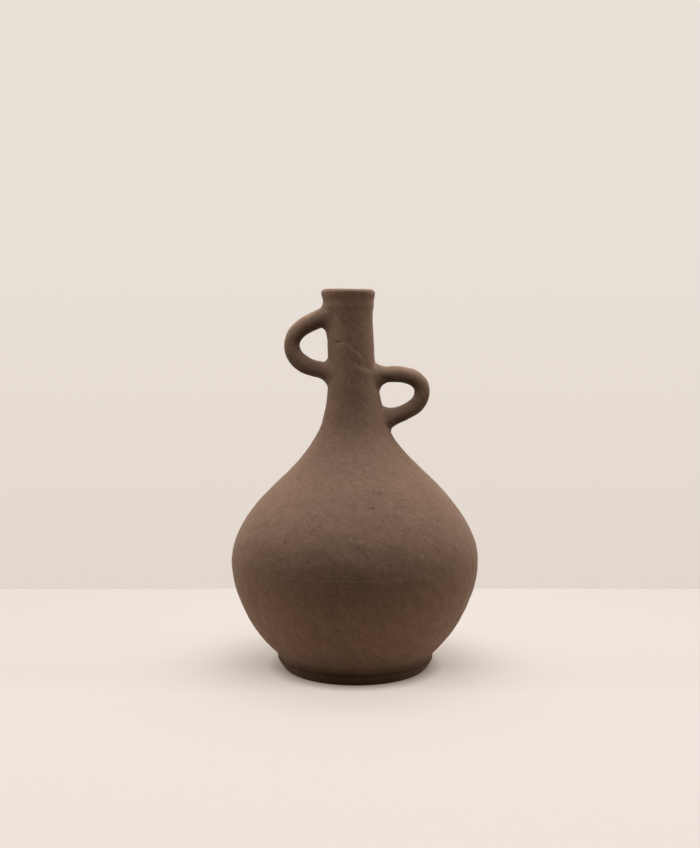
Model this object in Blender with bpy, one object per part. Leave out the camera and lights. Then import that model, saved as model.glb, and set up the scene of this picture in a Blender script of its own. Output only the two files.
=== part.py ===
"""Handled vase: a hand-built brown clay bottle with two loop handles at different heights.

Five turned sections stand on each other on tongue-and-groove joints, each bedded in a thin layer of slip.
Two rolled coils form the handles, and a collar of clay is pressed round each handle root.
Units are metres, +Z is up, and the origin is the middle of the foot's underside.
The handles lie in the plane y = 0: the high one on the -X side, the low one on the +X side.
"""
import math

import bmesh
import bpy

# Heights of the five sections, from the table up
FOOT_HEIGHT = 0.0105
BOWL_HEIGHT = 0.0835
SHOULDER_HEIGHT = 0.177
NECK_HEIGHT = 0.039
LIP_HEIGHT = 0.010

# Foot dish
FOOT_RADIUS = 0.0673
FOOT_REST_RADIUS = 0.060
FOOT_EDGE_HEIGHT = 0.0095
FOOT_LEDGE_ROUND = 0.0008
FLOOR_THICKNESS = 0.008
FLOOR_FLAT_RADIUS = 0.044

# Outer outline: each station has a radius and a slope, radius gained per height
BOWL_BASE_RADIUS = 0.0662
BOWL_BASE_SLOPE = 0.20
BOWL_FLARE_RISE = 0.0070
BOWL_FLARE_RADIUS = 0.0702
BOWL_FLARE_SLOPE = 1.02
BOWL_SIDE_RISE = 0.0345
BOWL_SIDE_RADIUS = 0.0909
BOWL_SIDE_SLOPE = 0.50
BELLY_DROP = 0.002
BELLY_RADIUS = 0.1045
SHOULDER_RISE = 0.0697
SHOULDER_RADIUS = 0.0609
SHOULDER_SLOPE = -1.073
NECK_BASE_RISE = 0.116
NECK_BASE_RADIUS = 0.0267
NECK_BASE_SLOPE = -0.2735
NECK_WAIST_RADIUS = 0.0194
LIP_BASE_RADIUS = 0.0211
LIP_BASE_SLOPE = 0.20
LIP_RADIUS = 0.0225
LIP_OUTER_ROUND = 0.0028
LIP_INNER_ROUND = 0.0022

# Walls, measured square to the surface
BODY_WALL = 0.007
NECK_WALL = 0.005

# The neck leans towards -X: offset of the lip's top, and where the lean sets in above the belly seam
NECK_LEAN = 0.0062
LEAN_RISE = 0.095
LEAN_EASE = 0.030

# Slip layer between pieces, and the tongue and groove between sections
SLIP = 0.0003
TONGUE_DEPTH = 0.0015
TONGUE_SHARE = 0.45

# High handle, on the -X side
HIGH_COIL_RADIUS = 0.0071
HIGH_LIP_CLEARANCE = 0.0019
HIGH_SPAN = 0.0457
HIGH_BOW_DROP = 0.0252
HIGH_REACH = 0.0303
HIGH_TOP_ANGLE = -27.0
HIGH_BASE_ANGLE = 1.0
HIGH_TOP_PULL = 0.0100
HIGH_BASE_PULL = 0.0243
HIGH_BOW_RISE_PULL = 0.0151
HIGH_BOW_FALL_PULL = 0.0065

# Low handle, on the +X side
LOW_COIL_RADIUS = 0.0067
LOW_TOP_DROP = 0.0225
LOW_SPAN = 0.0362
LOW_BOW_DROP = 0.0134
LOW_REACH = 0.0365
LOW_TOP_ANGLE = 7.8
LOW_BASE_ANGLE = 10.9
LOW_TOP_PULL = 0.0289
LOW_BASE_PULL = 0.0181
LOW_BOW_RISE_PULL = 0.0095
LOW_BOW_FALL_PULL = 0.0126

# Collars of clay round the handle roots
COLLAR_SPREAD = 0.0025
COLLAR_LENGTH = 0.0050
COLLAR_EDGE = 0.0009

# How finely round shapes are divided
TURN_STEPS = 48
OUTER_STEP = 0.0085
INNER_STEP = 0.0140
FEWEST_STEPS = 3
EDGE_STEPS = 6
ROUND_STEPS = 4
COIL_STEPS = 20
COIL_RINGS = 26
CAP_RINGS = 2
BISECTIONS = 40
SHARP_ANGLE = 35.0
CLAY_ROUGHNESS = 0.78

# Heights that follow from the sizes above
SEAM_Z = FOOT_HEIGHT + BOWL_HEIGHT
NECK_Z = SEAM_Z + SHOULDER_HEIGHT
LIP_Z = NECK_Z + NECK_HEIGHT
TOP_Z = LIP_Z + LIP_HEIGHT
LIP_WIDEST_Z = TOP_Z - LIP_OUTER_ROUND

OUTLINE = (
    (FOOT_HEIGHT, BOWL_BASE_RADIUS, BOWL_BASE_SLOPE),
    (FOOT_HEIGHT + BOWL_FLARE_RISE, BOWL_FLARE_RADIUS, BOWL_FLARE_SLOPE),
    (FOOT_HEIGHT + BOWL_SIDE_RISE, BOWL_SIDE_RADIUS, BOWL_SIDE_SLOPE),
    (SEAM_Z - BELLY_DROP, BELLY_RADIUS, 0.0),
    (SEAM_Z + SHOULDER_RISE, SHOULDER_RADIUS, SHOULDER_SLOPE),
    (SEAM_Z + NECK_BASE_RISE, NECK_BASE_RADIUS, NECK_BASE_SLOPE),
    (NECK_Z, NECK_WAIST_RADIUS, 0.0),
    (LIP_Z, LIP_BASE_RADIUS, LIP_BASE_SLOPE),
    (LIP_WIDEST_Z, LIP_RADIUS, 0.0),
)

CLAY_COLOURS = {
    "foot": (0.070, 0.043, 0.028),
    "bowl": (0.105, 0.066, 0.043),
    "shoulder": (0.130, 0.083, 0.056),
    "neck": (0.115, 0.073, 0.049),
    "coil": (0.120, 0.077, 0.053),
}


def clear_scene():
    """Removes every object that the file opened with."""
    for thing in list(bpy.data.objects):
        bpy.data.objects.remove(thing, do_unlink=True)


def clay(name, colour):
    """Matt fired clay."""
    material = bpy.data.materials.new(name)
    material.use_nodes = True
    shader = material.node_tree.nodes["Principled BSDF"]
    shader.inputs["Base Color"].default_value = (*colour, 1.0)
    shader.inputs["Roughness"].default_value = CLAY_ROUGHNESS
    shader.inputs["Metallic"].default_value = 0.0
    return material


def outline(z):
    """Outer radius at height z, and its slope, on the smooth curve through the stations."""
    z = min(max(z, OUTLINE[0][0]), OUTLINE[-1][0])
    index = 0
    while index < len(OUTLINE) - 2 and z > OUTLINE[index + 1][0]:
        index += 1
    z0, r0, s0 = OUTLINE[index]
    z1, r1, s1 = OUTLINE[index + 1]
    rise = z1 - z0
    t = (z - z0) / rise
    radius = (
        (2 * t**3 - 3 * t**2 + 1) * r0
        + (t**3 - 2 * t**2 + t) * rise * s0
        + (3 * t**2 - 2 * t**3) * r1
        + (t**3 - t**2) * rise * s1
    )
    slope = (
        6 * (t**2 - t) * (r0 - r1) / rise
        + (3 * t**2 - 4 * t + 1) * s0
        + (3 * t**2 - 2 * t) * s1
    )
    return radius, slope


def wall(z):
    """Wall thickness at height z: the body's, easing to the neck's above the shoulder."""
    low = SEAM_Z + SHOULDER_RISE
    high = SEAM_Z + NECK_BASE_RISE
    t = min(max((z - low) / (high - low), 0.0), 1.0)
    return BODY_WALL + (NECK_WALL - BODY_WALL) * t * t * (3 - 2 * t)


def inner(z):
    """Inner radius at height z."""
    radius, slope = outline(z)
    return radius - wall(z) * math.hypot(1.0, slope)


def lean(z):
    """How far the middle of the section at height z lies towards -X, as an x coordinate."""
    start = SEAM_Z + LEAN_RISE
    steady = start + LEAN_EASE
    grade = NECK_LEAN / (TOP_Z - start - LEAN_EASE / 2)
    if z <= start:
        return 0.0
    if z < steady:
        return -grade * (z - start) ** 2 / (2 * LEAN_EASE)
    return -grade * (z - start - LEAN_EASE / 2)


def spread(low, high, count):
    """Heights from low to high, count steps, both ends included."""
    return [low + (high - low) * i / count for i in range(count + 1)]


def levels(low, high, step):
    """Heights from low to high: every station between them, and the spans between divided by about step."""
    stops = [low] + [z for z, radius, slope in OUTLINE if low < z < high] + [high]
    result = []
    for bottom, top in zip(stops, stops[1:]):
        count = max(math.ceil((top - bottom) / step), FEWEST_STEPS)
        result += spread(bottom, top, count)[:-1]
    return result + [high]


def joint(z):
    """The ring joint at height z, outer edge to inner edge: a groove's section as (radius, height)."""
    radius = outline(z)[0]
    inside = inner(z)
    middle = (radius + inside) / 2
    half = (radius - inside) * TONGUE_SHARE / 2
    return [
        (radius, z),
        (middle + half, z),
        (middle, z - TONGUE_DEPTH),
        (middle - half, z),
        (inside, z),
    ]


def bedded(points):
    """The same joint on the upper piece, raised by the slip layer."""
    return [(radius, z + SLIP) for radius, z in points]


def section(low, high):
    """Closed section of a turned piece between the joints at two heights."""
    outer_wall = [(outline(z)[0], z) for z in levels(low + SLIP, high, OUTER_STEP)[1:-1]]
    inner_wall = [(inner(z), z) for z in levels(low + SLIP, high, INNER_STEP)[-2:0:-1]]
    return bedded(joint(low))[::-1] + outer_wall + joint(high) + inner_wall


def foot_section():
    """Closed section of the foot dish, from the middle of its underside round to the floor's middle."""
    edge = []
    for angle in spread(0.0, math.pi / 2, EDGE_STEPS):
        radius = FOOT_REST_RADIUS + (FOOT_RADIUS - FOOT_REST_RADIUS) * math.sin(angle)
        edge.append((radius, FOOT_EDGE_HEIGHT * (1 - math.cos(angle))))
    ledge = [(FOOT_RADIUS - FOOT_LEDGE_ROUND, FOOT_HEIGHT)]
    floor = [(FLOOR_FLAT_RADIUS, FLOOR_THICKNESS), (0.0, FLOOR_THICKNESS)]
    return [(0.0, 0.0)] + edge + ledge + joint(FOOT_HEIGHT) + floor


def lip_section():
    """Closed section of the lip coil, with its rounded top."""
    flare = [(outline(z)[0], z) for z in levels(LIP_Z + SLIP, LIP_WIDEST_Z, OUTER_STEP)[1:]]
    mouth = inner(LIP_Z)
    top = []
    for angle in spread(0.0, math.pi / 2, ROUND_STEPS)[1:]:
        radius = LIP_RADIUS - LIP_OUTER_ROUND * (1 - math.cos(angle))
        top.append((radius, LIP_WIDEST_Z + LIP_OUTER_ROUND * math.sin(angle)))
    for angle in spread(0.0, math.pi / 2, ROUND_STEPS):
        radius = mouth + LIP_INNER_ROUND * (1 - math.sin(angle))
        top.append((radius, TOP_Z - LIP_INNER_ROUND * (1 - math.cos(angle))))
    return bedded(joint(LIP_Z))[::-1] + flare + top


def finish(name, bm, origin, material, parent):
    """Makes one named object from a bmesh, with its own origin."""
    bmesh.ops.remove_doubles(bm, verts=bm.verts, dist=1e-6)
    bmesh.ops.recalc_face_normals(bm, faces=bm.faces)
    for vert in bm.verts:
        vert.co.x -= origin[0]
        vert.co.z -= origin[1]
    mesh = bpy.data.meshes.new(name)
    bm.to_mesh(mesh)
    bm.free()
    mesh.shade_smooth()
    mesh.set_sharp_from_angle(angle=math.radians(SHARP_ANGLE))
    mesh.materials.append(material)
    thing = bpy.data.objects.new(name, mesh)
    thing.location = (origin[0], 0.0, origin[1])
    thing.parent = parent
    bpy.context.scene.collection.objects.link(thing)
    return thing


def turned(name, profile, base_z, material, parent):
    """A section spun about the vase's axis, then shifted level by level with the neck's lean."""
    bm = bmesh.new()
    points = [bm.verts.new((radius, 0.0, z)) for radius, z in profile]
    lines = [bm.edges.new((points[i - 1], points[i])) for i in range(len(points))]
    bmesh.ops.spin(
        bm,
        geom=points + lines,
        cent=(0.0, 0.0, 0.0),
        axis=(0.0, 0.0, 1.0),
        angle=math.tau,
        steps=TURN_STEPS,
        use_merge=True,
    )
    for vert in bm.verts:
        vert.co.x += lean(vert.co.z)
    return finish(name, bm, (lean(base_z), base_z), material, parent)


def bezier(a, b, c, d, t):
    """Point and speed on a cubic curve; past its ends it runs straight on."""
    inside = min(max(t, 0.0), 1.0)
    rest = 1 - inside
    point = []
    speed = []
    for p, q, r, s in zip(a, b, c, d):
        pace = 3 * (rest**2 * (q - p) + 2 * rest * inside * (r - q) + inside**2 * (s - r))
        place = rest**3 * p + 3 * rest**2 * inside * q + 3 * rest * inside**2 * r + inside**3 * s
        point.append(place + pace * (t - inside))
        speed.append(pace)
    return point, speed


class Handle:
    """A rolled coil's path from its top root out to the bow and back to its base root, in x and z."""

    def __init__(self, side, coil, top_z, span, bow_drop, reach, angles, pulls):
        self.side = side
        self.coil = coil
        base_z = top_z - span
        bow_z = top_z - bow_drop
        bow = (self.neck_x(bow_z) + side * reach, bow_z)
        top = (self.neck_x(top_z), top_z)
        base = (self.neck_x(base_z), base_z)
        top_pull, base_pull, rise_pull, fall_pull = pulls
        self.outward = (
            top,
            self.along(top, angles[0], top_pull),
            (bow[0], bow[1] + rise_pull),
            bow,
        )
        self.inward = (
            bow,
            (bow[0], bow[1] - fall_pull),
            self.along(base, angles[1], base_pull),
            base,
        )

    def neck_x(self, z):
        """The neck's surface on this handle's side."""
        return lean(z) + self.side * outline(z)[0]

    def along(self, root, degrees, pull):
        """The point that a root's direction pulls the coil towards."""
        angle = math.radians(degrees)
        return root[0] + self.side * pull * math.cos(angle), root[1] + pull * math.sin(angle)

    def point(self, t, turn, radius):
        """Point beside the path: t is 0 at the top root, 1 at the bow and 2 at the base root."""
        if t < 1:
            (x, z), (vx, vz) = bezier(*self.outward, t)
        else:
            (x, z), (vx, vz) = bezier(*self.inward, t - 1)
        pace = math.hypot(vx, vz)
        across = radius * math.cos(turn) / pace
        return x - vz * across, radius * math.sin(turn), z + vx * across

    def pace(self, root):
        """Length of path per unit of t at a root."""
        if root == 0:
            return math.dist(self.outward[0], self.outward[1]) * 3
        return math.dist(self.inward[2], self.inward[3]) * 3

    def meet(self, root, turn, radius):
        """The t at which this line along the coil meets the neck, less the slip layer."""
        inside = -0.4 if root == 0 else 2.4
        outside = 0.6 if root == 0 else 1.4
        for _ in range(BISECTIONS):
            middle = (inside + outside) / 2
            x, y, z = self.point(middle, turn, radius)
            neck, slope = outline(z)
            if math.hypot(x - lean(z), y) < neck + SLIP * math.hypot(1.0, slope):
                inside = middle
            else:
                outside = middle
        return outside


def turns():
    """Angles round a coil."""
    return [math.tau * i / COIL_STEPS for i in range(COIL_STEPS)]


def skin(bm, rings, closed):
    """Joins rings of points with faces, and the last ring to the first where the solid is a loop."""
    made = [[bm.verts.new(point) for point in ring] for ring in rings]
    pairs = list(zip(made, made[1:]))
    if closed:
        pairs.append((made[-1], made[0]))
    for one, two in pairs:
        for i in range(len(one)):
            bm.faces.new((one[i - 1], one[i], two[i], two[i - 1]))
    return made


def cap_rings(handle, root):
    """Rings from the coil's skin towards its middle, on the neck's surface."""
    rings = []
    for step in range(1, CAP_RINGS + 1):
        radius = handle.coil * (1 - step / (CAP_RINGS + 1))
        rings.append([handle.point(handle.meet(root, turn, radius), turn, radius) for turn in turns()])
    return rings


def coil(name, handle, material, parent):
    """A handle: a round coil whose ends are shaped to the neck."""
    bm = bmesh.new()
    ends = [(handle.meet(0, turn, handle.coil), handle.meet(2, turn, handle.coil)) for turn in turns()]
    rings = cap_rings(handle, 0)[::-1]
    for share in spread(0.0, 1.0, COIL_RINGS):
        ring = []
        for turn, (first, last) in zip(turns(), ends):
            ring.append(handle.point(first + (last - first) * share, turn, handle.coil))
        rings.append(ring)
    rings += cap_rings(handle, 2)
    made = skin(bm, rings, closed=False)
    for root, ring in ((0, made[0]), (2, made[-1])):
        middle = bm.verts.new(handle.point(handle.meet(root, 0.0, 0.0), 0.0, 0.0))
        for i in range(len(ring)):
            bm.faces.new((ring[i - 1], ring[i], middle))
    return finish(name, bm, handle.outward[0], material, parent)


def collar(name, handle, root, material, parent):
    """The clay pressed round a handle root: a ring with a hollow flare, seated on the neck and the coil."""
    bm = bmesh.new()
    hole = handle.coil + SLIP
    foot = hole + COLLAR_SPREAD
    way = 1 if root == 0 else -1
    step = way / handle.pace(root)
    profiles = []
    for turn in turns():
        seat = {radius: handle.meet(root, turn, radius) for radius in (hole, (hole + foot) / 2, foot)}
        crest = seat[hole] + COLLAR_LENGTH * step
        heel = seat[foot] + COLLAR_EDGE * step
        places = [(t, radius) for radius, t in seat.items()]
        places.append((heel, foot))
        for angle in spread(0.0, math.pi / 2, ROUND_STEPS)[1:-1]:
            radius = foot - (foot - hole - COLLAR_EDGE) * math.sin(angle)
            places.append((crest + (heel - crest) * math.cos(angle), radius))
        places.append((crest, hole + COLLAR_EDGE))
        places.append((crest, hole))
        profiles.append([handle.point(t, turn, radius) for t, radius in places])
    rings = [list(ring) for ring in zip(*profiles)]
    skin(bm, rings, closed=True)
    place = handle.outward[0] if root == 0 else handle.inward[3]
    return finish(name, bm, place, material, parent)


def make_handles():
    """The two coils' paths."""
    high = Handle(
        side=-1,
        coil=HIGH_COIL_RADIUS,
        top_z=LIP_Z - HIGH_LIP_CLEARANCE - COLLAR_SPREAD - HIGH_COIL_RADIUS,
        span=HIGH_SPAN,
        bow_drop=HIGH_BOW_DROP,
        reach=HIGH_REACH,
        angles=(HIGH_TOP_ANGLE, HIGH_BASE_ANGLE),
        pulls=(HIGH_TOP_PULL, HIGH_BASE_PULL, HIGH_BOW_RISE_PULL, HIGH_BOW_FALL_PULL),
    )
    low = Handle(
        side=1,
        coil=LOW_COIL_RADIUS,
        top_z=NECK_Z - LOW_TOP_DROP,
        span=LOW_SPAN,
        bow_drop=LOW_BOW_DROP,
        reach=LOW_REACH,
        angles=(LOW_TOP_ANGLE, LOW_BASE_ANGLE),
        pulls=(LOW_TOP_PULL, LOW_BASE_PULL, LOW_BOW_RISE_PULL, LOW_BOW_FALL_PULL),
    )
    return high, low


def build():
    """The whole vase, under one empty."""
    clear_scene()
    vase = bpy.data.objects.new("vase", None)
    bpy.context.scene.collection.objects.link(vase)
    clays = {name: clay(name + "_clay", colour) for name, colour in CLAY_COLOURS.items()}
    turned("foot_dish", foot_section(), 0.0, clays["foot"], vase)
    turned("lower_bowl", section(FOOT_HEIGHT, SEAM_Z), FOOT_HEIGHT, clays["bowl"], vase)
    turned("shoulder", section(SEAM_Z, NECK_Z), SEAM_Z, clays["shoulder"], vase)
    turned("neck_collar", section(NECK_Z, LIP_Z), NECK_Z, clays["neck"], vase)
    turned("lip_coil", lip_section(), LIP_Z, clays["neck"], vase)
    high, low = make_handles()
    for title, handle in (("high", high), ("low", low)):
        coil(title + "_handle", handle, clays["coil"], vase)
        collar(title + "_handle_top_collar", handle, 0, clays["coil"], vase)
        collar(title + "_handle_base_collar", handle, 2, clays["coil"], vase)


build()
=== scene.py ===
"""The look of the handled vase: matt brown clay, formed and smeared by hand, on a pale floor.

Every piece stands for the clay solid of the same name and is built in the frame's metres, +Z up.
The camera looks along +Y, so the front of the vase faces -Y and the high handle is on the left.
"""

import math

import bpy
import numpy as np
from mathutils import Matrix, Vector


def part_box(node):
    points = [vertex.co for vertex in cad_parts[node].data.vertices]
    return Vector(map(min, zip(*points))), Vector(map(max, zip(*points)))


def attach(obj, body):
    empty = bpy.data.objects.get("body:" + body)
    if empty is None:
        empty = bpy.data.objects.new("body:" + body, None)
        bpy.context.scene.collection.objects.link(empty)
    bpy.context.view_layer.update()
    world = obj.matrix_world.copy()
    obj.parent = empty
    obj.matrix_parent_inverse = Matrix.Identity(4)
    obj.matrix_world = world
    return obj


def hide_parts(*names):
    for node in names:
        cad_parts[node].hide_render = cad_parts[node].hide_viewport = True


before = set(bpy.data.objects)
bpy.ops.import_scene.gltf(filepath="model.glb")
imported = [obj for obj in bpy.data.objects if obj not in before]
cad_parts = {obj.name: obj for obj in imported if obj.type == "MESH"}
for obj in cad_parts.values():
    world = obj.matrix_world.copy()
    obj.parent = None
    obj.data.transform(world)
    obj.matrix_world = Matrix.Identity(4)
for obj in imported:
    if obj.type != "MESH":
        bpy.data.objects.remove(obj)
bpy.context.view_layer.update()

# The photograph's height and focal length in pixels, the film's height in millimetres, and the viewpoint
PHOTO_HEIGHT = 848
FOCAL_PIXELS = 1100
SENSOR = 36.0
CAMERA_PLACE = (-0.0044, -0.9297, 0.2773)
CAMERA_PITCH = 4.314

# Heights of the joints between the sections, and of the lip
FOOT_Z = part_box("foot_dish")[1][2]
SEAM_Z = 0.094
NECK_Z = 0.271
LIP_Z = 0.310
LIP_WIDEST_Z = 0.3174
TOP_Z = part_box("lip_coil")[1][2]

# Outer outline: height, radius and slope at each station
STATIONS = np.array((
    (FOOT_Z, 0.0659, 0.40),
    (0.0175, 0.0702, 1.02),
    (0.0450, 0.0909, 0.50),
    (0.0920, 0.1045, 0.0),
    (0.1637, 0.0609, -1.073),
    (0.2100, 0.0267, -0.2735),
    (NECK_Z, 0.0195, 0.0),
    (LIP_Z, 0.0211, 0.20),
    (LIP_WIDEST_Z, 0.0225, 0.0),
))

# The foot: its rounded edge, the valley under the bowl, the painted shade near the table and the floor
# inside
FOOT_REST_RADIUS = 0.0603
FOOT_RADIUS = 0.0660
FOOT_EDGE_Z = 0.0080
FOOT_TAPER = 0.75
FOOT_VALLEY_Z = 0.0098
FOOT_VALLEY_DEPTH = 0.0011
# Painted shade: the foot is darkened towards the table, fading out above
FOOT_PAINTED_SHADE = 0.58
FOOT_PAINTED_SHADE_FADE = (0.0095, 0.0200)
FLOOR_Z = 0.008
FLOOR_FLAT_RADIUS = 0.044

# The lip: its rounding outside and inside, the share of unevenness inside, and the waves along its rim
LIP_ROUND = 0.0036
LIP_INNER_ROUND = 0.0026
LIP_INNER_SHARE = 0.7
RIM_WAVE = 0.020
RIM_WAVE_HEIGHT = 0.00018
RIM_SEED = 33
RIM_LIFT = 0.0004

# The wall, and the slip in each joint
BODY_WALL = 0.007
NECK_WALL = 0.005
WALL_EASE = (0.1637, 0.2100)
JOINT_GAP = 0.00015

# The neck's lean towards -X, and the body's slow sway: middle, reach and shift of each swing
LEAN = 0.0062
LEAN_START = 0.189
LEAN_EASE = 0.030
SWAYS = (
    (0.162, 0.020, 0.0009),
    (0.197, 0.013, -0.0008),
    (0.058, 0.045, -0.0004),
    (0.255, 0.032, -0.0002),
    (0.000, 0.012, 0.0004),
)

# Unevenness of hand-formed clay: lump size, depth, seed and how much flatter the lumps lie
LUMPS = (
    (0.045, 0.00014, 11, 1.0),
    (0.012, 0.00008, 12, 1.6),
    (0.0045, 0.00004, 13, 1.2),
)
COIL_LUMPS = (
    (0.016, 0.00016, 21, 1.0),
    (0.0055, 0.00007, 22, 1.0),
    (0.0025, 0.00003, 23, 1.0),
)
INNER_SHARE = 0.4
SWELL = 0.0003
WAVES = 28
WAVE_SPREAD = (0.6, 1.4)

# Seam round the belly: height above the joint, sway and wavelength; its patches and their share,
# the share and reach of the clearer stretch in the middle; and the height above its line,
# the reach and the depth of its groove and of its ridge
SEAM_RISE = 0.0006
SEAM_SWAY = 0.0005
SEAM_WAVE = 0.017
SEAM_PATCH = dict(size=0.05, seed=31, mean=0.55, swing=0.45)
SEAM_SIDES = 0.35
SEAM_SHOWN = 0.60
SEAM_FRONT = 0.050
SEAM_GROOVE = (0.0007, 0.0005, -0.00040)
SEAM_RIDGE = (-0.0006, 0.0008, 0.00032)

# Soft bands round the lip: height, reach and depth
LIP_BANDS = (
    (0.3060, 0.0019, 0.00034),
    (0.3118, 0.0025, -0.00020),
)

# Lapped edges of clay on the neck's front: ends and rise of each edge line,
# depth of its lip and of its dent, and half the width of the edge
NECK_LAPS = (
    ((-0.0165, 0.2734), (-0.0070, 0.2750), 0.0012, 0.00095, 0.00080, 0.0009),
    ((-0.0080, 0.2750), (0.0060, 0.2630), 0.0006, 0.00065, 0.00060, 0.0018),
    ((-0.0040, 0.2595), (0.0125, 0.2522), -0.0005, 0.00085, 0.00060, 0.0015),
)
# How far the lip, the dent and the painted highlight reach from the edge, and how far its ends and flanks
# fade;
# a lip of the full depth is fully pale, the painted highlight at its strongest
LAP_LIP = 0.0075
LAP_DENT = 0.0050
LAP_HIGHLIGHT = 0.0022
LAP_FADE = 0.0030
LAP_FULL = 0.00095
LAP_PATCH = dict(size=0.006, seed=32, mean=0.7, swing=0.3)
FRONT_FADE = 0.012

# Pits left in the clay: angle from the front, height, half width, half height and depth
PITS = (
    (-53.5, 0.1649, 0.0013, 0.0013, 0.00055),
    (15.2, 0.1564, 0.0014, 0.0009, 0.00055),
    (9.4, 0.1465, 0.0022, 0.0009, 0.00055),
    (47.6, 0.1343, 0.0013, 0.0011, 0.00045),
    (-34.7, 0.1194, 0.0015, 0.0012, 0.00040),
    (-0.8, 0.1257, 0.0013, 0.0009, 0.00040),
    (14.5, 0.1057, 0.0012, 0.0010, 0.00035),
    (-21.3, 0.1075, 0.0014, 0.0010, 0.00035),
    (-8.0, 0.0540, 0.0012, 0.0010, 0.00035),
    (12.5, 0.0292, 0.0014, 0.0010, 0.00040),
    (-36.0, 0.2766, 0.0028, 0.0008, 0.00050),
    (92.0, 0.2356, 0.0016, 0.0009, 0.00110),
)

# More pits, scattered over the sides and back: their number, seed, and ranges of each value
BACK_PITS = 26
BACK_SEED = 61
BACK_ANGLES = (70.0, 290.0)
BACK_HEIGHTS = (0.025, 0.205)
BACK_SIZES = (0.0011, 0.0017)
BACK_STRETCHES = (1.0, 1.6)
BACK_DEPTHS = (0.0003, 0.0006)

# Scratches across the low handle's bow: place along it and round it, tilt, half length,
# half width and depth; the length of path to a unit of place, and the depth that is fully pale
SCRATCHES = (
    (0.93, 262.0, 50.0, 0.0026, 0.0005, 0.00010),
    (1.00, 268.0, 50.0, 0.0030, 0.0005, 0.00012),
    (1.07, 276.0, 50.0, 0.0022, 0.0005, 0.00010),
)
SCRATCH_PACE = 0.033
SCRATCH_FULL = 0.00011

# High and low handle: side, coil radius at the top root, bow and base root, heights of the roots,
# the bow's place, angles at the roots, and pulls at the top, base, above and below the bow
HIGH_COIL = dict(
    side=-1,
    radii=(0.0081, 0.0067, 0.0072),
    roots=(0.2985, 0.2528),
    bow=(-0.0534, 0.2733),
    angles=(-27.0, 1.0),
    pulls=(0.0100, 0.0243, 0.0151, 0.0065),
)
LOW_COIL = dict(
    side=1,
    radii=(0.0068, 0.0064, 0.0068),
    roots=(0.2485, 0.2123),
    bow=(0.0565, 0.2351),
    angles=(7.8, 10.9),
    pulls=(0.0289, 0.0181, 0.0095, 0.0126),
    scratches=SCRATCHES,
)

# Places along a coil's path: its roots and bow, and where the neck's surface is looked for near each root,
# from inside the neck outwards
TOP_ROOT = 0
BOW = 1
BASE_ROOT = 2
ROOT_SEARCH = {TOP_ROOT: (-0.4, 0.7), BASE_ROOT: (2.4, 1.3)}

# Clay smeared round the top and base root of each handle: reach along the neck and along the coil,
# on the side away from the loop, on the loop's side and on the flanks
HIGH_SMEARS = (
    dict(away=(0.0071, 0.0034), loop=(0.0126, 0.0054), flank=(0.0070, 0.0060), seed=41),
    dict(away=(0.0084, 0.0113), loop=(0.0057, 0.0046), flank=(0.0070, 0.0080), seed=43),
)
LOW_SMEARS = (
    dict(away=(0.0059, 0.0110), loop=(0.0093, 0.0106), flank=(0.0080, 0.0105), seed=45),
    dict(away=(0.0067, 0.0153), loop=(0.0053, 0.0167), flank=(0.0070, 0.0130), seed=47),
)
# The smears' feathered edges, with the share of their width and depth half-way, the bed below the surface,
# the angle left free at both ends of the hollow, and the unevenness
SMEAR_FEATHER = 0.0016
SMEAR_SINK = 0.0003
TUCK_WIDTH = 0.4
TUCK_DEPTH = 0.1
SMEAR_BED = 0.0011
SMEAR_MARGIN = 0.04
SMEAR_UNEVEN = 0.06
SMEAR_PATCH = 0.8
SMEAR_DAB = 0.00010
DAB_PATCH = 0.5

# How finely the shapes are divided
TURNS = 512
BODY_STEP = 0.00125
NECK_STEP = 0.0006
INNER_STEP = 0.008
FINE_STEPS = 2000
SLOPE_STEP = 1e-5
POLE_RINGS = 8
ROUND_STEPS = 12
COIL_TURNS = 96
COIL_RINGS = 220
COIL_END = 0.0012
SMEAR_TURNS = 144
SMEAR_ROWS = 28
BISECTIONS = 30
SHARP_ANGLE = 50.0

# The points' own value for the paint: below nought for pits and for the painted shade low on the foot,
# above it for pale scratches and for the painted highlights on the lapped edges
WEAR_AND_PAINTED_SHADING = "wear_and_painted_shading"

# Colours and shine of the fired clay
CLAY_DARK = (0.119, 0.0660, 0.0400)
CLAY_LIGHT = (0.212, 0.126, 0.083)
# The pits' colour, also used for painted shade, and the flecks' colour, also used for painted highlights
CLAY_PIT_AND_SHADE = (0.040, 0.022, 0.014)
CLAY_FLECK_AND_HIGHLIGHT = (0.290, 0.190, 0.135)
CLAY_ROUGHNESS = 0.85
CLAY_SPECULAR = 0.25
CLAY_SHEEN = 0.06
CLAY_SHEEN_TINT = (1.0, 0.80, 0.64)
CLAY_SHEEN_ROUGHNESS = 0.6

# Drift, clouds, mottles, grains and specks in the clay's tone: noise scale and detail, least and most added
CLAY_TONES = (
    (13.0, 2.0, -0.06, 0.18),
    (60.0, 4.0, 0.0, 0.15),
    (210.0, 3.0, 0.0, 0.12),
    (560.0, 2.0, 0.0, 0.30),
    (1150.0, 1.0, 0.0, 0.34),
)
NOISE_SPAN = (0.3, 0.7)

# Drag marks, where two stretched noises meet: scale, detail, stretch and tilt of each
DRAG_NOISES = (
    (260.0, 2.0, (6.0, 1.0, 1.0), (0.0, 0.7, 0.4)),
    (230.0, 2.0, (1.0, 1.0, 5.0), (0.5, -0.4, 0.0)),
)
DRAG_SPAN = (0.18, 0.34)
DRAG_TONE = 0.24

# Scale and detail of other noises
PINHOLE_NOISE = (560.0, 1.0)
FLECK_NOISE = (700.0, 0.0)
FINE_NOISE = (900.0, 3.0)

# Stains and painted shade towards the pits' colour, and rubs and painted highlights towards the flecks':
# span of the value that sets each, and its largest share
PINHOLE_STAIN = ((0.20, 0.36), 0.55)
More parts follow.
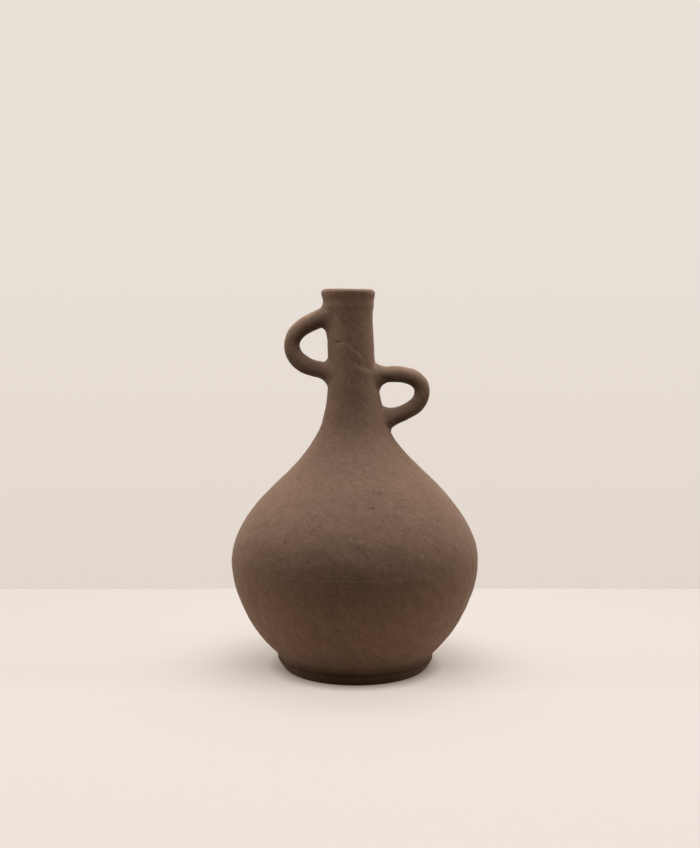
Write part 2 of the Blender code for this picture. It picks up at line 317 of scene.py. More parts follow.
# The points' value darkens the pits and paints shade low on the foot
WEAR_AND_SHADE_STAIN = ((-0.9, -0.1), 0.8)
# Painted shade under the handles, and painted light on their tops, set by which way the surface faces
UNDER_PAINTED_SHADE = ((-0.60, 0.10), 0.75)
FLECK_RUB = ((0.66, 0.82), 0.35)
# The points' value makes scratches pale and paints highlights on the lapped edges
WEAR_AND_HIGHLIGHT_RUB = ((0.1, 0.9), 0.45)
TOP_PAINTED_LIGHT = ((-0.25, 0.60), 0.40)

# Fine relief of the clay: strength and distance, and heights of the drag marks, fine noise and pinholes
BUMP_STRENGTH = 0.5
BUMP_DISTANCE = 0.0006
DRAG_RELIEF = 1.2
FINE_RELIEF = 0.5
PINHOLE_SUNK_SPAN = (0.24, 0.36)
PINHOLE_RELIEF = -0.6

# The floor: paint in the shadow, glow in front and behind, the glow's share there, and where it changes;
# the larger share in front is painted light over the shadow there, and the darker glow behind is painted
# shade;
# painted shadow close to the foot; and the paint that throws light back, far and near in front, and where
# it changes
STAGE_HALF = 3.0
FLOOR_PAINT = (0.565, 0.538, 0.512)
FLOOR_ROUGHNESS = 0.95
FLOOR_SPECULAR = 0.1
FLOOR_SHOWN = (0.860, 0.772, 0.702)
FLOOR_BACK = (0.770, 0.660, 0.585)
FLOOR_SHARES = (0.80, 0.50)
SHARE_FADE = (-0.080, -0.005)
CONTACT_REACH = 0.0145
CONTACT_RANGE = (0.25, 0.95)
CONTACT_SHADE = (0.36, 0.29, 0.24)
FLOOR_FAR = (0.03, 0.025, 0.02)
FLOOR_NEAR = (0.66, 0.57, 0.49)
FLOOR_FADE = (-0.34, -0.12)

# The wall's place, its colours low and high and where they change, and the world's light from front to back
WALL_Y = 0.294
WALL_LOW = (0.768, 0.687, 0.610)
WALL_HIGH = (0.818, 0.748, 0.690)
WALL_FADE = (0.0, 0.42)
WORLD_TINT = (1.0, 0.90, 0.80)
WORLD_SPAN = (-0.3, 0.7)
WORLD_LEVELS = (0.0, 1.15)

# Soft lights: name, place, aim, size, power, and the angle of the narrow ones
LAMPS = (
    ("top_light", (0.06, -0.05, 1.45), (0.0, 0.0, 0.0), (1.3, 1.3), 18.6),
    ("back_light", (0.05, 0.25, 1.20), (0.05, 0.0, 0.1), (1.6, 0.6), 11.2),
    ("left_light", (-1.0, 0.10, 0.50), (0.0, 0.0, 0.10), (0.3, 0.8), 0.45),
    ("right_light", (1.0, 0.10, 0.50), (0.0, 0.0, 0.10), (0.3, 0.8), 0.45),
    ("low_left_light", (-0.9, -0.05, 0.15), (0.0, 0.0, 0.05), (0.3, 0.3), 0.32),
    ("low_right_light", (0.9, -0.05, 0.15), (0.0, 0.0, 0.05), (0.3, 0.3), 0.32),
    ("neck_left_light", (-0.7, -0.60, 0.50), (0.0, 0.0, 0.31), (0.2, 0.2), 0.042, 25.0),
    ("neck_right_light", (0.7, -0.60, 0.50), (0.0, 0.0, 0.31), (0.2, 0.2), 0.013, 25.0),
)
WIDE_SPREAD = 180.0


def field(points, size, seed, flatten=1.0):
    """A smooth random field of about unit spread; its lumps are about size across."""
    draw = np.random.default_rng(seed)
    ways = draw.normal(size=(WAVES, 3))
    ways /= np.linalg.norm(ways, axis=1, keepdims=True)
    ways *= draw.uniform(*WAVE_SPREAD, (WAVES, 1)) * math.pi / size
    ways[:, 2] *= flatten
    phases = draw.uniform(0.0, math.tau, WAVES)
    return np.sin(points @ ways.T + phases).sum(axis=-1) / math.sqrt(WAVES / 2)


def patchy(points, size, seed, mean, swing):
    """How strongly a mark shows at points, in patches of about size."""
    return mean + swing * np.clip(field(points, size, seed), -1.0, 1.0)


def lumps(points, kinds):
    """Unevenness at points, the sum of several sizes of lump."""
    total = np.zeros(points.shape[:-1])
    for size, depth, seed, flatten in kinds:
        total += depth * field(points, size, seed, flatten)
    return total


def bump(value, middle, reach):
    """A smooth hump of height one."""
    return np.exp(-((value - middle) / reach) ** 2)


def ease(value, low, high):
    """Smooth step from nought to one."""
    t = np.clip((value - low) / (high - low), 0.0, 1.0)
    return t * t * (3 - 2 * t)


def outline(z):
    """Outer radius at height z, on the smooth curve through the stations."""
    levels, radii, slopes = STATIONS.T
    z = np.clip(z, levels[0], levels[-1])
    index = np.clip(np.searchsorted(levels, z, side="right") - 1, 0, len(levels) - 2)
    rise = levels[index + 1] - levels[index]
    t = (z - levels[index]) / rise
    return (
        (2 * t**3 - 3 * t**2 + 1) * radii[index]
        + (t**3 - 2 * t**2 + t) * rise * slopes[index]
        + (3 * t**2 - 2 * t**3) * radii[index + 1]
        + (t**3 - t**2) * rise * slopes[index + 1]
    )


def slope(z):
    """Radius gained per height at height z."""
    return (outline(z + SLOPE_STEP) - outline(z - SLOPE_STEP)) / (2 * SLOPE_STEP)


def inner(z):
    """Inner radius at height z."""
    wall = BODY_WALL + (NECK_WALL - BODY_WALL) * ease(z, *WALL_EASE)
    return outline(z) - wall * np.hypot(1.0, slope(z))


def centre(z):
    """The x of the section's middle at height z: the neck's lean and the body's sway."""
    past = np.clip(z - LEAN_START, 0.0, None)
    eased = np.where(past < LEAN_EASE, past**2 / (2 * LEAN_EASE), past - LEAN_EASE / 2)
    x = -LEAN * eased / (TOP_Z - LEAN_START - LEAN_EASE / 2)
    for middle, reach, shift in SWAYS:
        x = x + shift * bump(z, middle, reach)
    return x


def nominal(turn, z, radius):
    """Point on an even section: turn is 0 at the front and grows towards +X."""
    x = centre(z) + radius * np.sin(turn)
    return np.stack(np.broadcast_arrays(x, -radius * np.cos(turn), z), axis=-1)


def all_pits():
    """The pits seen from the front, and more that are scattered over the sides and back."""
    draw = np.random.default_rng(BACK_SEED)
    pits = list(PITS)
    for _ in range(BACK_PITS):
        degrees = draw.uniform(*BACK_ANGLES)
        z = draw.uniform(*BACK_HEIGHTS)
        size = draw.uniform(*BACK_SIZES)
        wide = size * draw.uniform(*BACK_STRETCHES)
        pits.append((degrees, z, wide, size, draw.uniform(*BACK_DEPTHS)))
    return pits


ALL_PITS = all_pits()


def pits_and_foot_shade(points):
    """How deep the pits go at points, and how dark they are and how dark the painted shade low on the foot
    is, from nought to one.
    """
    turn = np.arctan2(points[..., 0] - centre(points[..., 2]), -points[..., 1])
    depth = np.zeros(turn.shape)
    dark = np.zeros(turn.shape)
    for degrees, z, wide, high, deep in ALL_PITS:
        aside = (turn - math.radians(degrees) + math.pi) % math.tau - math.pi
        up = (points[..., 2] - z) * np.hypot(1.0, slope(z))
        hole = np.exp(-((aside * outline(z) / wide) ** 2) - (up / high) ** 2)
        depth += deep * hole
        dark = np.maximum(dark, hole)
    # Painted shade low on the foot, near the table
    foot_shade = FOOT_PAINTED_SHADE * (1 - ease(points[..., 2], *FOOT_PAINTED_SHADE_FADE))
    return depth, np.maximum(dark, foot_shade)


def lapped(x, z, first, last, rise, lip, dent, edge):
    """The relief and painted highlight of a clay edge lapped upwards: raised below its line and dented
    above it.
    """
    share = (x - first[0]) / (last[0] - first[0])
    line = first[1] + (last[1] - first[1]) * share + rise * 4 * share * (1 - share)
    fade = LAP_FADE / (last[0] - first[0])
    along = ease(share, -fade, fade) * (1 - ease(share, 1 - fade, 1 + fade))
    above = z - line
    raised = ease(-above, -edge, edge) * np.exp(np.minimum(above, 0.0) / LAP_LIP)
    dented = ease(above, -edge, edge) * np.exp(-np.maximum(above, 0.0) / LAP_DENT)
    # A painted highlight on the raised lip, where the up-facing edge catches light
    pale = ease(-above, -edge, edge) * np.exp(np.minimum(above, 0.0) / LAP_HIGHLIGHT) * lip / LAP_FULL
    return along * (lip * raised - dent * dented), along * pale


def laps(points):
    """The relief of the lapped clay on the neck's front, and how strong its painted highlight is, from
    nought to one.
    """
    x = points[..., 0]
    z = points[..., 2]
    show = ease(-points[..., 1], 0.0, FRONT_FADE) * patchy(points, **LAP_PATCH)
    relief = np.zeros(z.shape)
    pale = np.zeros(z.shape)
    for lap in NECK_LAPS:
        stands, shines = lapped(x, z, *lap)
        relief += show * stands
        pale = np.maximum(pale, show * shines)
    return relief, pale


def bands(points):
    """The relief of the belly seam and of the lip's bands."""
    x = points[..., 0]
    z = points[..., 2]
    seam_z = SEAM_Z + SEAM_RISE + SEAM_SWAY * np.sin(x / SEAM_WAVE)
    show = SEAM_SIDES * patchy(points, **SEAM_PATCH) + SEAM_SHOWN * bump(x, 0.0, SEAM_FRONT)
    total = np.zeros(z.shape)
    for above, reach, depth in (SEAM_GROOVE, SEAM_RIDGE):
        total += depth * bump(z, seam_z + above, reach) * show
    for band_z, reach, depth in LIP_BANDS:
        total += depth * bump(z, band_z, reach)
    return total


def surface(points):
    """How far the finished outer surface stands off the even one, and the points' own value for the paint,
    with painted shade and painted highlights.
    """
    raised, pale = laps(points)
    depth, dark = pits_and_foot_shade(points)
    return SWELL + lumps(points, LUMPS) + (bands(points) + raised) - depth, pale - dark


def skin(turn, z):
    """Radius of the finished outer surface."""
    radius = outline(z)
    relief, _ = surface(nominal(turn, z, radius))
    return radius + relief


def heights(low, high, step):
    """Heights from low to high that are about step apart along the outline."""
    fine = np.linspace(low, high, FINE_STEPS)
    length = np.concatenate(([0.0], np.cumsum(np.hypot(np.diff(fine), np.diff(outline(fine))))))
    count = max(int(length[-1] / step), 2)
    return np.interp(np.linspace(0.0, length[-1], count + 1), length, fine)


def ring_faces(rows, columns, closed):
    """Four-sided faces over rows of points that each run right round."""
    row = np.arange(rows if closed else rows - 1)[:, None] * columns
    there = (row + columns) % (rows * columns)
    here = np.arange(columns)[None]
    beside = (here + 1) % columns
    return np.stack((row + here, row + beside, there + beside, there + here), axis=-1).reshape(-1, 4)


def fan_faces(middle, first, columns, flip):
    """Three-sided faces from a middle point to the ring that starts at first."""
    here = first + np.arange(columns)
    beside = first + (np.arange(columns) + 1) % columns
    middles = np.full(columns, middle)
    return np.stack((middles, beside, here) if flip else (middles, here, beside), axis=-1)


def mesh_piece(name, points, quads, fans, wear_and_painted_shading, material):
    """One smooth piece from points and faces, riding on the body and standing for its node."""
    corners = np.concatenate([quads.ravel()] + [fan.ravel() for fan in fans])
    sizes = np.concatenate([np.full(len(quads), 4)] + [np.full(len(fan), 3) for fan in fans])
    mesh = bpy.data.meshes.new(name)
    mesh.vertices.add(len(points))
    mesh.vertices.foreach_set("co", points.ravel())
    mesh.loops.add(len(corners))
    mesh.loops.foreach_set("vertex_index", corners.astype(np.int32))
    mesh.polygons.add(len(sizes))
    mesh.polygons.foreach_set("loop_start", (np.cumsum(sizes) - sizes).astype(np.int32))
    mesh.update(calc_edges=True)
    mesh.validate()
    mesh.attributes.new(WEAR_AND_PAINTED_SHADING, "FLOAT", "POINT").data.foreach_set("value", wear_and_painted_shading)
    mesh.shade_smooth()
    mesh.set_sharp_from_angle(angle=math.radians(SHARP_ANGLE))
    mesh.materials.append(material)
    piece = bpy.data.objects.new(name, mesh)
    bpy.context.scene.collection.objects.link(piece)
    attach(piece, "root")
    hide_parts(name)


def turned(name, rows, material, poles=()):
    """A turned piece: rows of radius, height, share of unevenness and rim wave, and the poles of a dish."""
    turn = np.linspace(0.0, math.tau, TURNS, endpoint=False)
    radius, z, share, wave = (np.array(column)[:, None] for column in zip(*rows))
    even = nominal(turn, z, radius)
    relief, wear_and_painted_shading = surface(even)
    points = nominal(turn, z, radius + share * relief)
    points[..., 2] += wave * (RIM_LIFT + RIM_WAVE_HEIGHT * field(even, RIM_WAVE, RIM_SEED))
    points = points.reshape(-1, 3)
    wear_and_painted_shading = (wear_and_painted_shading * share).ravel()
    fans = []
    if poles:
        count = len(points)
        fans = [fan_faces(count, 0, TURNS, True), fan_faces(count + 1, count - TURNS, TURNS, False)]
        points = np.concatenate((points, [(0.0, 0.0, pole) for pole in poles]))
        wear_and_painted_shading = np.concatenate((wear_and_painted_shading, np.zeros(len(poles))))
    quads = ring_faces(len(rows), TURNS, not poles)
    mesh_piece(name, points, quads, fans, wear_and_painted_shading, material)


def outer_rows(low, high, step):
    """Rows of the outer wall between two joints."""
    return [(float(outline(z)), z, 1.0, 0.0) for z in heights(low, high, step)]


def inner_rows(low, high):
    """Rows of the inner wall, from the upper joint down to the lower one."""
    return [(float(inner(z)), z, INNER_SHARE, 0.0) for z in heights(low, high, INNER_STEP)[::-1]]


def section(low, high, step):
    """Rows of a section between two joints, up its outside and down its inside."""
    return outer_rows(low, high, step) + inner_rows(low + JOINT_GAP, high - JOINT_GAP)


def foot_rows():
    """Rows of the foot dish: underside, rounded edge, soft valley under the bowl, seat and floor."""
    rows = [(r, 0.0, 0.0, 0.0) for r in np.linspace(0.0, FOOT_REST_RADIUS, POLE_RINGS)[1:-1]]
    for angle in np.linspace(0.0, math.pi / 2, 2 * ROUND_STEPS):
        rise = 1 - math.cos(angle)
        out = math.sin(angle) + FOOT_TAPER * (rise - math.sin(angle))
        radius = FOOT_REST_RADIUS + (FOOT_RADIUS - FOOT_REST_RADIUS) * out
        rows.append((radius, FOOT_EDGE_Z * rise, math.sin(angle), 0.0))
    seat = STATIONS[0][1]
    valley = seat - FOOT_VALLEY_DEPTH
    for z in np.linspace(FOOT_EDGE_Z, FOOT_VALLEY_Z, ROUND_STEPS)[1:]:
        share = float(ease(z, FOOT_EDGE_Z, FOOT_VALLEY_Z))
        rows.append((FOOT_RADIUS + (valley - FOOT_RADIUS) * share, z, 1.0, 0.0))
    for share in np.linspace(0.0, 1.0, ROUND_STEPS // 2)[1:]:
        z = FOOT_VALLEY_Z + (FOOT_Z - FOOT_VALLEY_Z) * share
        rows.append((valley + (seat - valley) * share**2, z, 1.0, 0.0))
    rows.append((float(inner(FOOT_Z)), FOOT_Z - JOINT_GAP, INNER_SHARE, 0.0))
    rows += [(r, FLOOR_Z, 0.0, 0.0) for r in np.linspace(FLOOR_FLAT_RADIUS, 0.0, POLE_RINGS)[:-1]]
    return rows


def lip_rows():
    """Rows of the lip: flare, rounded top, mouth."""
    mouth = float(inner(LIP_Z))
    crown = STATIONS[-1][1] - LIP_ROUND
    rise = TOP_Z - LIP_WIDEST_Z
    rows = outer_rows(LIP_Z, LIP_WIDEST_Z, NECK_STEP)
    for angle in np.linspace(0.0, math.pi / 2, ROUND_STEPS)[1:]:
        z = LIP_WIDEST_Z + rise * math.sin(angle)
        rows.append((crown + LIP_ROUND * math.cos(angle), z, 1.0, math.sin(angle)))
    for angle in np.linspace(0.0, math.pi / 2, ROUND_STEPS):
        z = TOP_Z - LIP_INNER_ROUND * (1 - math.cos(angle))
        radius = mouth + LIP_INNER_ROUND * (1 - math.sin(angle))
        rows.append((radius, z, LIP_INNER_SHARE, math.cos(angle)))
    rows.append((mouth, LIP_Z + JOINT_GAP, INNER_SHARE, 0.0))
    return rows


class Coil:
    """A rolled coil's path from its top root out to the bow and back to its base root."""

    def __init__(self, side, radii, roots, bow, angles, pulls, scratches=()):
        self.side = side
        self.radii = radii
        self.scratches = scratches
        top, base = (self.neck_point(z) for z in roots)
        bow = np.array(bow)
        above = bow + (0.0, pulls[2])
        below = bow - (0.0, pulls[3])
        self.outward = (top, top + self.pull(angles[0], pulls[0]), above, bow)
        self.inward = (bow, below, base + self.pull(angles[1], pulls[1]), base)

    def neck_point(self, z):
        """Where the coil's middle line meets the neck, in x and z."""
        return np.array((float(centre(z)) + self.side * float(outline(z)), z))

    def pull(self, degrees, length):
        """The way out of a root, as a step in x and z."""
        angle = math.radians(degrees)
        return np.array((self.side * length * math.cos(angle), length * math.sin(angle)))

    def middle(self, t):
        """The path's point and direction in x and z at place t, carried straight on past the roots."""
        first = (t < BOW)[..., None]
        a, b, c, d = (np.where(first, p, q) for p, q in zip(self.outward, self.inward))
        along = np.where(t < BOW, t, t - BOW)[..., None]
        inside = np.clip(along, 0.0, 1.0)
        rest = 1 - inside
        pace = 3 * (rest**2 * (b - a) + 2 * rest * inside * (c - b) + inside**2 * (d - c))
        point = rest**3 * a + 3 * rest**2 * inside * b + 3 * rest * inside**2 * c + inside**3 * d
        return point + pace * (along - inside), pace / np.linalg.norm(pace, axis=-1, keepdims=True)

    def radius(self, t):
        """The coil's even radius."""
        return np.interp(t, (TOP_ROOT, BOW, BASE_ROOT), self.radii)

    def scratched(self, t, turn):
        """How deep the scratches go."""
        depth = np.zeros(np.broadcast(t, turn).shape)
        for along, degrees, tilt, length, width, deep in self.scratches:
            down = (t - along) * SCRATCH_PACE
            aside = (turn - math.radians(degrees)) * self.radius(t)
            cosine = math.cos(math.radians(tilt))
            sine = math.sin(math.radians(tilt))
            run = (down * cosine + aside * sine) / length
            off = (aside * cosine - down * sine) / width
            depth = depth + deep * np.exp(-(run**4) - off**2)
        return depth

    def point(self, t, turn, out):
        """A point out metres off the coil's surface, unevenness included."""
        place, way = self.middle(t)
        across = np.stack((-way[..., 1] * np.cos(turn), np.sin(turn), way[..., 0] * np.cos(turn)), axis=-1)
        spine = np.stack((place[..., 0], np.zeros_like(t), place[..., 1]), axis=-1)
        radius = self.radius(t)
        reach = radius + lumps(spine + radius[..., None] * across, COIL_LUMPS) + out
        reach = reach - self.scratched(t, turn)
        return spine + reach[..., None] * across

    def meet(self, root, turn, out, off):
        """The place t at which the line at turn, out off the coil, lies off metres outside the neck."""
        inside, outside = (np.full(turn.shape, end) for end in ROOT_SEARCH[root])
        for _ in range(BISECTIONS):
            half = (inside + outside) / 2
            x, y, z = np.moveaxis(self.point(half, turn, out), -1, 0)
            dx = x - centre(z)
            short = np.hypot(dx, y) < skin(np.arctan2(dx, -y), z) + off
            inside = np.where(short, half, inside)
            outside = np.where(short, outside, half)
        return outside


def coil_piece(name, coil, material):
    """A handle: a hand-rolled coil whose ends lie just under the neck's surface."""
    turn = np.linspace(0.0, math.tau, COIL_TURNS, endpoint=False)
    level = np.zeros(COIL_TURNS)
    first = coil.meet(TOP_ROOT, turn, level, -COIL_END)
    last = coil.meet(BASE_ROOT, turn, level, -COIL_END)
    share = np.linspace(0.0, 1.0, COIL_RINGS)[:, None]
    places = first + (last - first) * share
    turns = np.broadcast_to(turn, places.shape)
    points = coil.point(places, turns, 0.0)
    wear_and_painted_shading = (coil.scratched(places, turns) / SCRATCH_FULL).ravel()
    ends = (points[0].mean(axis=0), points[-1].mean(axis=0))
    points = np.concatenate((points.reshape(-1, 3), ends))
    wear_and_painted_shading = np.concatenate((wear_and_painted_shading, np.zeros(len(ends))))
    count = COIL_RINGS * COIL_TURNS
    quads = ring_faces(COIL_RINGS, COIL_TURNS, False)[:, ::-1]
    top_end = fan_faces(count, 0, COIL_TURNS, False)
    base_end = fan_faces(count + 1, count - COIL_TURNS, COIL_TURNS, True)
    mesh_piece(name, points, quads, [top_end, base_end], wear_and_painted_shading, material)


def smear_piece(name, coil, root, material, away, loop, flank, seed):
    """Clay smeared round a handle root: a hollow fillet from neck to coil, its edges feathered in."""
    turn = np.linspace(0.0, math.tau, SMEAR_TURNS, endpoint=False)
    facing = -coil.side * np.cos(turn)
    shares = (np.clip(-facing, 0.0, None) ** 2, np.clip(facing, 0.0, None) ** 2, np.sin(turn) ** 2)
    reaches = sum(share[:, None] * reach for share, reach in zip(shares, (away, loop, flank)))
    ring = np.stack((np.cos(turn), np.sin(turn), np.zeros(SMEAR_TURNS)), axis=-1)
    reaches = reaches * (1 + SMEAR_UNEVEN * field(ring, SMEAR_PATCH, seed))[:, None]
    neck, along = reaches.T
    tuck = TUCK_WIDTH * SMEAR_FEATHER
    dip = TUCK_DEPTH * SMEAR_SINK
    rows = [(neck + SMEAR_FEATHER, -SMEAR_SINK), (neck + tuck, -dip)]
    for angle in np.linspace(SMEAR_MARGIN, math.pi / 2 - SMEAR_MARGIN, SMEAR_ROWS):
        dab = SMEAR_DAB * math.sin(2 * angle) * field(ring + angle, DAB_PATCH, seed + 1)
        rows.append((neck * (1 - math.sin(angle)) + dab, along * (1 - math.cos(angle)) + dab))
    rows += [(-dip, along + tuck), (-SMEAR_SINK, along + SMEAR_FEATHER)]
    rows += [(-SMEAR_BED, along), (-SMEAR_BED, -SMEAR_BED), (neck, -SMEAR_BED)]
    out, off = (np.array([np.broadcast_to(row[k], turn.shape) for row in rows]) for k in (0, 1))
    turns = np.broadcast_to(turn, out.shape)
    points = coil.point(coil.meet(root, turns, out, off), turns, out).reshape(-1, 3)
    quads = ring_faces(len(rows), SMEAR_TURNS, True)
    if root == TOP_ROOT:
        quads = quads[:, ::-1]
    mesh_piece(name, points, quads, [], np.zeros(len(points)), material)


class Nodes:
    """Short ways to add shader nodes to one material or world."""

    def __init__(self, owner):
        owner.use_nodes = True
        self.tree = owner.node_tree
        self.shader = self.tree.nodes.get("Principled BSDF")

    def add(self, kind):
        """A new node."""
        return self.tree.nodes.new("ShaderNode" + kind)

    def join(self, value, socket):
        """Sets a socket to a number or colour, or links it."""
        if isinstance(value, float):
            socket.default_value = value
        elif isinstance(value, tuple):
            socket.default_value = (*value, 1.0)
        else:
            self.tree.links.new(value, socket)

    def coordinate(self, kind, axis):
        """One axis of a texture coordinate."""
        return self.part(self.add("TexCoord").outputs[kind], axis)

    def part(self, vector, axis):
        """One axis of a vector."""
        node = self.add("SeparateXYZ")
        self.join(vector, node.inputs["Vector"])
        return node.outputs[axis]

    def noise(self, scale, detail, stretch=(1.0, 1.0, 1.0), tilt=(0.0, 0.0, 0.0)):
        """Cloudy noise on the vase's own coordinates."""
        mapping = self.add("Mapping")
        mapping.vector_type = "TEXTURE"
        mapping.inputs["Scale"].default_value = stretch
        mapping.inputs["Rotation"].default_value = tilt
        self.join(self.add("TexCoord").outputs["Object"], mapping.inputs["Vector"])
        texture = self.add("TexNoise")
        texture.inputs["Scale"].default_value = scale
        texture.inputs["Detail"].default_value = detail
        self.join(mapping.outputs["Vector"], texture.inputs["Vector"])
        return texture.outputs["Fac"]

    def ranged(self, value, low=0.0, high=1.0, start=0.0, end=1.0):
        """A value moved from one range to another, and kept within it."""
        node = self.add("MapRange")
        for socket, number in (("From Min", low), ("From Max", high), ("To Min", start), ("To Max", end)):
            node.inputs[socket].default_value = number
        self.join(value, node.inputs["Value"])
        return node.outputs["Result"]

    def maths(self, operation, first, second):
        """Two values added, multiplied and so on."""
        node = self.add("Math")
        node.operation = operation
        self.join(first, node.inputs[0])
        self.join(second, node.inputs[1])
        return node.outputs["Value"]

    def total(self, *values):
        """Values added up."""
        result = values[0]
        for value in values[1:]:
            result = self.maths("ADD", result, value)
        return result

    def mix(self, share, first, second):
        """A colour between two others."""
        node = self.add("Mix")
        node.data_type = "RGBA"
        self.join(share, node.inputs["Factor"])
        self.join(first, node.inputs["A"])
        self.join(second, node.inputs["B"])
        return node.outputs["Result"]


def stain_and_shade(nodes, colour, value, span, share):
    """A clay colour that goes towards the pits' where a value is low: stains, and painted shade."""
    return nodes.mix(nodes.ranged(value, *span, share, 0.0), colour, CLAY_PIT_AND_SHADE)


def rub_and_highlight(nodes, colour, value, span, share):
    """A clay colour that goes towards the flecks' where a value is high: flecks and scratches, and painted
    highlights and painted light.
    """
    return nodes.mix(nodes.ranged(value, *span, 0.0, share), colour, CLAY_FLECK_AND_HIGHLIGHT)


def clay(name, painted_shading=False):
    """Fired clay, unglazed: mottled tone, drag marks, pinholes, pale flecks, and the points' own marks:
    dark pits, pale scratches, and painted shade and painted highlights.

    With painted shading, a part is painted paler on top and darker underneath: painted light and painted
    shade, set by which way its surface faces.
    """
    material = bpy.data.materials.new(name)
    nodes = Nodes(material)
    sockets = nodes.shader.inputs
    nodes.join(CLAY_SPECULAR, sockets["Specular IOR Level"])
    nodes.join(CLAY_SHEEN, sockets["Sheen Weight"])
    nodes.join(CLAY_SHEEN_TINT, sockets["Sheen Tint"])
    nodes.join(CLAY_SHEEN_ROUGHNESS, sockets["Sheen Roughness"])
    nodes.join(CLAY_ROUGHNESS, sockets["Roughness"])
    tones = []
    for scale, detail, least, most in CLAY_TONES:
        tones.append(nodes.ranged(nodes.noise(scale, detail), *NOISE_SPAN, least, most))
    drag = nodes.maths("MULTIPLY", *(nodes.noise(*values) for values in DRAG_NOISES))
    streak = nodes.ranged(drag, *DRAG_SPAN, 0.0, DRAG_TONE)
    colour = nodes.mix(nodes.total(*tones, streak), CLAY_DARK, CLAY_LIGHT)
    pinhole = nodes.noise(*PINHOLE_NOISE)
    colour = stain_and_shade(nodes, colour, pinhole, *PINHOLE_STAIN)
    colour = rub_and_highlight(nodes, colour, nodes.noise(*FLECK_NOISE), *FLECK_RUB)
    attribute = nodes.add("Attribute")
    attribute.attribute_name = WEAR_AND_PAINTED_SHADING
    wear_and_painted_shading = attribute.outputs["Fac"]
    # The points' own value: dark pits and painted shade on the foot, pale scratches and painted highlights
    # on the laps
    colour = stain_and_shade(nodes, colour, wear_and_painted_shading, *WEAR_AND_SHADE_STAIN)
    colour = rub_and_highlight(nodes, colour, wear_and_painted_shading, *WEAR_AND_HIGHLIGHT_RUB)
    # Painted light and painted shade: paler where the surface faces up, darker where it faces down
    if painted_shading:
        upward = nodes.part(nodes.add("NewGeometry").outputs["Normal"], "Z")
        colour = stain_and_shade(nodes, colour, upward, *UNDER_PAINTED_SHADE)
        colour = rub_and_highlight(nodes, colour, upward, *TOP_PAINTED_LIGHT)
    nodes.join(colour, sockets["Base Color"])
    drawn = nodes.maths("MULTIPLY", drag, DRAG_RELIEF)
    fine = nodes.maths("MULTIPLY", nodes.noise(*FINE_NOISE), FINE_RELIEF)
    sunk = nodes.ranged(pinhole, *PINHOLE_SUNK_SPAN, PINHOLE_RELIEF, 0.0)
    relief = nodes.add("Bump")
    nodes.join(BUMP_STRENGTH, relief.inputs["Strength"])
    nodes.join(BUMP_DISTANCE, relief.inputs["Distance"])
    nodes.join(nodes.total(drawn, fine, sunk), relief.inputs["Height"])
    nodes.join(relief.outputs["Normal"], sockets["Normal"])
    return material


def seen_ray(nodes):
    """One for a ray that shows the backdrop, to the camera or in gloss or glass, and nought for light."""
    rays = nodes.add("LightPath").outputs
    seen = nodes.total(rays["Is Camera Ray"], rays["Is Glossy Ray"], rays["Is Transmission Ray"])
    return nodes.ranged(seen)


def glowing(nodes, colour):
    """A plain emission of one colour."""
    light = nodes.add("Emission")
    nodes.join(colour, light.inputs["Color"])
    return light.outputs["Emission"]


def blended(nodes, share, first, second, output="Material Output"):
    """Gives the surface a share of the second shader, and the rest of the first."""
    mix = nodes.add("MixShader")
    nodes.join(share, mix.inputs["Fac"])
    nodes.join(first, mix.inputs[1])
    nodes.join(second, mix.inputs[2])
    nodes.join(mix.outputs["Shader"], nodes.tree.nodes[output].inputs["Surface"])


def floor_paint():
    """Pale matt floor: it takes the shadow, and part of its paleness is shown to the camera alone, with a
    painted contact shadow round the foot, painted light over the shadow in front and painted shade behind.
    """
    material = bpy.data.materials.new("floor_paint")
    nodes = Nodes(material)
    sockets = nodes.shader.inputs
    seen = seen_ray(nodes)
    y = nodes.coordinate("Object", "Y")
    lighting = nodes.mix(nodes.ranged(y, *FLOOR_FADE), FLOOR_FAR, FLOOR_NEAR)
    nodes.join(nodes.mix(seen, lighting, FLOOR_PAINT), sockets["Base Color"])
    nodes.join(FLOOR_ROUGHNESS, sockets["Roughness"])
    nodes.join(FLOOR_SPECULAR, sockets["Specular IOR Level"])
    # Painted light and shade: more glow in front hides the shadow there, and a darker glow beside and
    # behind the foot deepens it
    behind = nodes.ranged(y, *SHARE_FADE)
    share = nodes.maths("MULTIPLY", seen, nodes.ranged(behind, 0.0, 1.0, *FLOOR_SHARES))
    # Painted contact shadow: the glow is darkened where the foot closes the floor in
    open_sky = nodes.add("AmbientOcclusion")
    nodes.join(CONTACT_REACH, open_sky.inputs["Distance"])
    contact = nodes.ranged(open_sky.outputs["AO"], *CONTACT_RANGE)
    shown = nodes.mix(contact, CONTACT_SHADE, nodes.mix(behind, FLOOR_SHOWN, FLOOR_BACK))
    blended(nodes, share, nodes.shader.outputs["BSDF"], glowing(nodes, shown))
    return material


def wall_paint():
    """Pale wall that shows only from the front and lets all light through."""
    material = bpy.data.materials.new("wall_paint")
    nodes = Nodes(material)
    front = nodes.maths("SUBTRACT", 1.0, nodes.add("NewGeometry").outputs["Backfacing"])
    share = nodes.maths("MULTIPLY", seen_ray(nodes), front)
    clear = nodes.add("BsdfTransparent").outputs["BSDF"]
    colour = nodes.mix(nodes.ranged(nodes.coordinate("Object", "Z"), *WALL_FADE), WALL_LOW, WALL_HIGH)
    blended(nodes, share, clear, glowing(nodes, colour))
    return material


